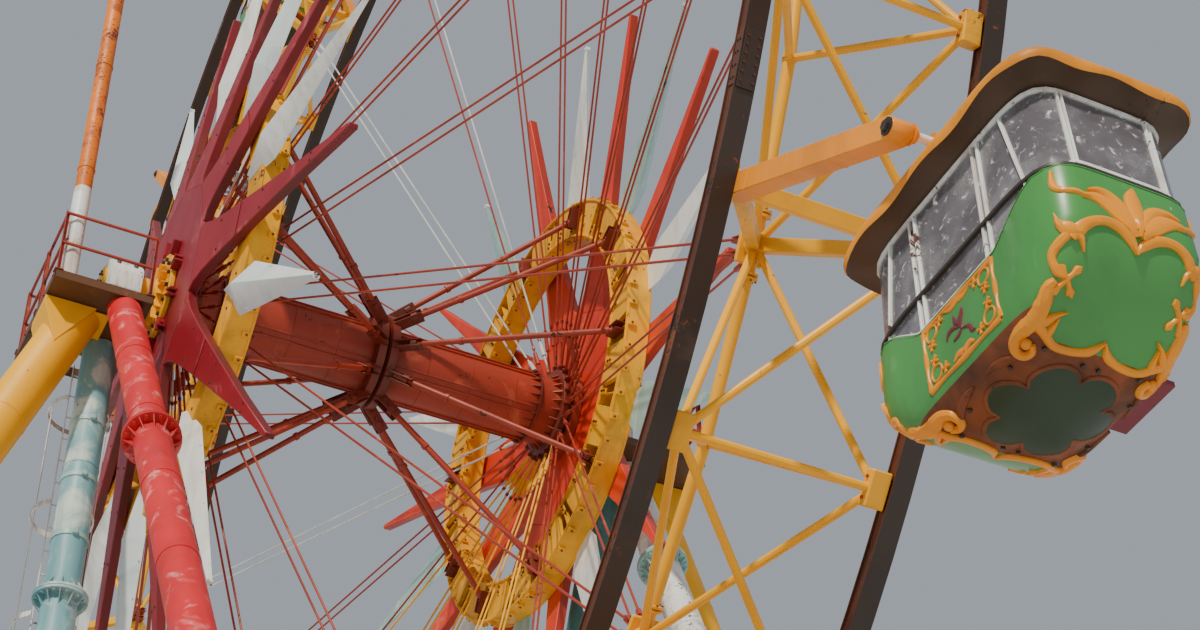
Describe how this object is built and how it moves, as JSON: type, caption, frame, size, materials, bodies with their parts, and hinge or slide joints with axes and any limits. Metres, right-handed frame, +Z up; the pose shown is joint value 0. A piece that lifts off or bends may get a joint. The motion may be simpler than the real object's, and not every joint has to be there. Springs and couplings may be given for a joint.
{
  "type": "ferris wheel",
  "caption": "Open steel ferris wheel on two braced towers, with roofed cabins that hang on pins around its rim and stay level as it turns.",
  "frame": {"origin": "on the ground, below the middle of the axle", "axes": "+Y along the axle from the left tower to the right one, +X to the side of the raking leg, +Z up"},
  "size_m": [33.5138, 24.5, 37.6569],
  "materials": {
    "rail_paint": "dark brown-black paint, rusty at its edges",
    "yellow_paint": "chipped yellow paint",
    "terracotta_paint": "weathered terracotta paint",
    "crimson_paint": "faded crimson paint",
    "orange_red_paint": "faded orange-red paint",
    "white_paint": "dirty white paint with rust",
    "teal_paint": "pale teal paint",
    "red_paint": "red paint with pale patches",
    "deck_steel": "dark brown steel",
    "salmon_paint": "salmon paint",
    "orange_paint": "light orange paint",
    "green_cabin": "green paint with orange ornament",
    "red_cabin": "red paint with orange ornament"
  },
  "bodies": {
    "towers": {"left_column": "teal_paint", "left_raking_leg": "red_paint", "left_outrigger": "yellow_paint", "right_front_leg": "white_paint", "right_back_leg": "teal_paint", "right_outrigger": "yellow_paint", "left_deck": "deck_steel", "left_railing": "salmon_paint", "left_bearing": "white_paint", "right_deck": "deck_steel", "right_railing": "salmon_paint", "right_bearing": "white_paint", "ladder": "white_paint", "lamp_pole": "orange_paint"},
    "wheel": {"left_rail": "rail_paint", "right_rail": "rail_paint", "rim_lattice_1": "yellow_paint", "rim_lattice_2": "yellow_paint", "rim_lattice_3": "yellow_paint", "rim_lattice_4": "yellow_paint", "rim_lattice_5": "yellow_paint", "axle_tube": "terracotta_paint", "left_shaft": "yellow_paint", "left_star": "crimson_paint", "left_ring": "yellow_paint", "left_braces": "terracotta_paint", "left_stay_rods": "terracotta_paint", "right_shaft": "yellow_paint", "right_star": "orange_red_paint", "right_ring": "yellow_paint", "right_braces": "terracotta_paint", "right_stay_rods": "terracotta_paint"},
    "cabin_01_body": {"cabin_01": "green_cabin"},
    "cabin_02_body": {"cabin_02": "red_cabin"},
    "cabin_03_body": {"cabin_03": "green_cabin"},
    "cabin_04_body": {"cabin_04": "red_cabin"},
    "cabin_05_body": {"cabin_05": "green_cabin"},
    "cabin_06_body": {"cabin_06": "red_cabin"},
    "cabin_07_body": {"cabin_07": "green_cabin"},
    "cabin_08_body": {"cabin_08": "red_cabin"},
    "cabin_09_body": {"cabin_09": "green_cabin"},
    "cabin_10_body": {"cabin_10": "red_cabin"},
    "cabin_11_body": {"cabin_11": "green_cabin"},
    "cabin_12_body": {"cabin_12": "red_cabin"},
    "cabin_13_body": {"cabin_13": "green_cabin"},
    "cabin_14_body": {"cabin_14": "red_cabin"},
    "cabin_15_body": {"cabin_15": "green_cabin"},
    "cabin_16_body": {"cabin_16": "red_cabin"},
    "cabin_17_body": {"cabin_17": "green_cabin"},
    "cabin_18_body": {"cabin_18": "red_cabin"},
    "cabin_19_body": {"cabin_19": "green_cabin"},
    "cabin_20_body": {"cabin_20": "red_cabin"}
  },
  "joints": [
    {"name": "wheel_spin", "type": "hinge", "parent": "towers", "child": "wheel", "pos_m": [0, 0, 22], "axis": [0, 1, 0], "continuous": true},
    {"name": "cabin_01_swing", "type": "hinge", "parent": "wheel", "child": "cabin_01_body", "pos_m": [15.5169, 0, 23.0143], "axis": [0, 1, 0], "continuous": true},
    {"name": "cabin_02_swing", "type": "hinge", "parent": "wheel", "child": "cabin_02_body", "pos_m": [14.444, 0, 27.7596], "axis": [0, 1, 0], "continuous": true},
    {"name": "cabin_03_swing", "type": "hinge", "parent": "wheel", "child": "cabin_03_body", "pos_m": [11.9572, 0, 31.9412], "axis": [0, 1, 0], "continuous": true},
    {"name": "cabin_04_swing", "type": "hinge", "parent": "wheel", "child": "cabin_04_body", "pos_m": [8.3, 0, 35.1496], "axis": [0, 1, 0], "continuous": true},
    {"name": "cabin_05_swing", "type": "hinge", "parent": "wheel", "child": "cabin_05_body", "pos_m": [3.8303, 0, 37.0709], "axis": [0, 1, 0], "continuous": true},
    {"name": "cabin_06_swing", "type": "hinge", "parent": "wheel", "child": "cabin_06_body", "pos_m": [-1.0143, 0, 37.5169], "axis": [0, 1, 0], "continuous": true},
    {"name": "cabin_07_swing", "type": "hinge", "parent": "wheel", "child": "cabin_07_body", "pos_m": [-5.7596, 0, 36.444], "axis": [0, 1, 0], "continuous": true},
    {"name": "cabin_08_swing", "type": "hinge", "parent": "wheel", "child": "cabin_08_body", "pos_m": [-9.9412, 0, 33.9572], "axis": [0, 1, 0], "continuous": true},
    {"name": "cabin_09_swing", "type": "hinge", "parent": "wheel", "child": "cabin_09_body", "pos_m": [-13.1496, 0, 30.3], "axis": [0, 1, 0], "continuous": true},
    {"name": "cabin_10_swing", "type": "hinge", "parent": "wheel", "child": "cabin_10_body", "pos_m": [-15.0709, 0, 25.8303], "axis": [0, 1, 0], "continuous": true},
    {"name": "cabin_11_swing", "type": "hinge", "parent": "wheel", "child": "cabin_11_body", "pos_m": [-15.5169, 0, 20.9857], "axis": [0, 1, 0], "continuous": true},
    {"name": "cabin_12_swing", "type": "hinge", "parent": "wheel", "child": "cabin_12_body", "pos_m": [-14.444, 0, 16.2404], "axis": [0, 1, 0], "continuous": true},
    {"name": "cabin_13_swing", "type": "hinge", "parent": "wheel", "child": "cabin_13_body", "pos_m": [-11.9572, 0, 12.0588], "axis": [0, 1, 0], "continuous": true},
    {"name": "cabin_14_swing", "type": "hinge", "parent": "wheel", "child": "cabin_14_body", "pos_m": [-8.3, 0, 8.8504], "axis": [0, 1, 0], "continuous": true},
    {"name": "cabin_15_swing", "type": "hinge", "parent": "wheel", "child": "cabin_15_body", "pos_m": [-3.8303, 0, 6.9291], "axis": [0, 1, 0], "continuous": true},
    {"name": "cabin_16_swing", "type": "hinge", "parent": "wheel", "child": "cabin_16_body", "pos_m": [1.0143, 0, 6.4831], "axis": [0, 1, 0], "continuous": true},
    {"name": "cabin_17_swing", "type": "hinge", "parent": "wheel", "child": "cabin_17_body", "pos_m": [5.7596, 0, 7.556], "axis": [0, 1, 0], "continuous": true},
    {"name": "cabin_18_swing", "type": "hinge", "parent": "wheel", "child": "cabin_18_body", "pos_m": [9.9412, 0, 10.0428], "axis": [0, 1, 0], "continuous": true},
    {"name": "cabin_19_swing", "type": "hinge", "parent": "wheel", "child": "cabin_19_body", "pos_m": [13.1496, 0, 13.7], "axis": [0, 1, 0], "continuous": true},
    {"name": "cabin_20_swing", "type": "hinge", "parent": "wheel", "child": "cabin_20_body", "pos_m": [15.0709, 0, 18.1697], "axis": [0, 1, 0], "continuous": true}
  ],
  "couplings": [
    {"joint": "cabin_01_swing", "follows": "wheel_spin", "ratio": -1},
    {"joint": "cabin_02_swing", "follows": "wheel_spin", "ratio": -1},
    {"joint": "cabin_03_swing", "follows": "wheel_spin", "ratio": -1},
    {"joint": "cabin_04_swing", "follows": "wheel_spin", "ratio": -1},
    {"joint": "cabin_05_swing", "follows": "wheel_spin", "ratio": -1},
    {"joint": "cabin_06_swing", "follows": "wheel_spin", "ratio": -1},
    {"joint": "cabin_07_swing", "follows": "wheel_spin", "ratio": -1},
    {"joint": "cabin_08_swing", "follows": "wheel_spin", "ratio": -1},
    {"joint": "cabin_09_swing", "follows": "wheel_spin", "ratio": -1},
    {"joint": "cabin_10_swing", "follows": "wheel_spin", "ratio": -1},
    {"joint": "cabin_11_swing", "follows": "wheel_spin", "ratio": -1},
    {"joint": "cabin_12_swing", "follows": "wheel_spin", "ratio": -1},
    {"joint": "cabin_13_swing", "follows": "wheel_spin", "ratio": -1},
    {"joint": "cabin_14_swing", "follows": "wheel_spin", "ratio": -1},
    {"joint": "cabin_15_swing", "follows": "wheel_spin", "ratio": -1},
    {"joint": "cabin_16_swing", "follows": "wheel_spin", "ratio": -1},
    {"joint": "cabin_17_swing", "follows": "wheel_spin", "ratio": -1},
    {"joint": "cabin_18_swing", "follows": "wheel_spin", "ratio": -1},
    {"joint": "cabin_19_swing", "follows": "wheel_spin", "ratio": -1},
    {"joint": "cabin_20_swing", "follows": "wheel_spin", "ratio": -1}
  ]
}
